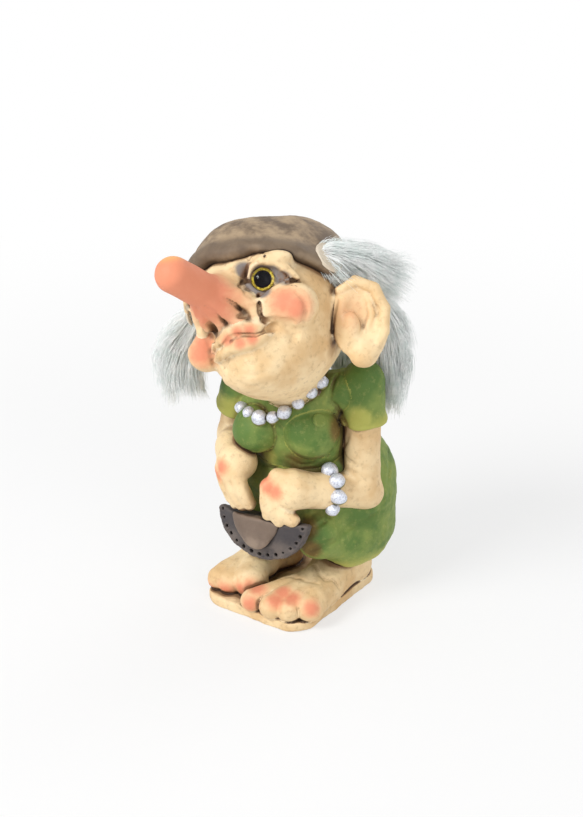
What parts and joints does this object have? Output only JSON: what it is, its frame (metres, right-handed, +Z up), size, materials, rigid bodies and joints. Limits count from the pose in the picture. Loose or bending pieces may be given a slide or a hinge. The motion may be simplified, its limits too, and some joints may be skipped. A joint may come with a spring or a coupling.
{
  "type": "troll figure",
  "caption": "Standing folk troll woman figure with a long nose, headscarf, glass eyes, fur hair, beads and a lap pouch.",
  "frame": {"origin": "middle of the flat underside of the base slab", "axes": "+Z up through the figure; -Y towards its front; +X towards its own left hand"},
  "size_m": [0.0873, 0.1104, 0.1545],
  "materials": {
    "painted_skin": "matt",
    "painted_dress": "matt",
    "painted_scarf": "matt",
    "painted_nose": "matt",
    "painted_pouch": "matt",
    "painted_flap": "matt",
    "silver_paint": "satin",
    "clear_glass": "gloss",
    "yellow_paint": "gloss",
    "black_paint": "gloss",
    "eye_wire": "satin",
    "fur_hair": "matt",
    "fur_hide": "matt"
  },
  "bodies": {
    "root": {"base_slab": "painted_skin", "pour_hole_plug": "painted_skin", "left_foot": "painted_skin", "right_foot": "painted_skin", "skirt": "painted_dress", "torso": "painted_dress", "left_bodice_cup": "painted_dress", "right_bodice_cup": "painted_dress", "bodice_button": "painted_dress", "neck": "painted_skin", "necklace_beads": "silver_paint", "left_sleeve": "painted_dress", "right_sleeve": "painted_dress", "left_arm": "painted_skin", "right_arm": "painted_skin", "left_hand": "painted_skin", "right_hand": "painted_skin", "bracelet_beads": "silver_paint", "pouch_body": "painted_pouch", "pouch_flap": "painted_flap", "head": "painted_skin", "nose": "painted_nose", "left_ear": "painted_skin", "right_ear": "painted_skin", "headscarf": "painted_scarf", "left_eye_glass": "clear_glass", "right_eye_glass": "clear_glass", "left_eye_iris": "yellow_paint", "right_eye_iris": "yellow_paint", "left_eye_pupil": "black_paint", "right_eye_pupil": "black_paint", "left_eye_wire": "eye_wire", "right_eye_wire": "eye_wire", "left_temple_hide": "fur_hide", "right_temple_hide": "fur_hide", "back_hide": "fur_hide", "left_temple_hair": "fur_hair", "right_temple_hair": "fur_hair", "back_hair": "fur_hair"}
  },
  "joints": []
}
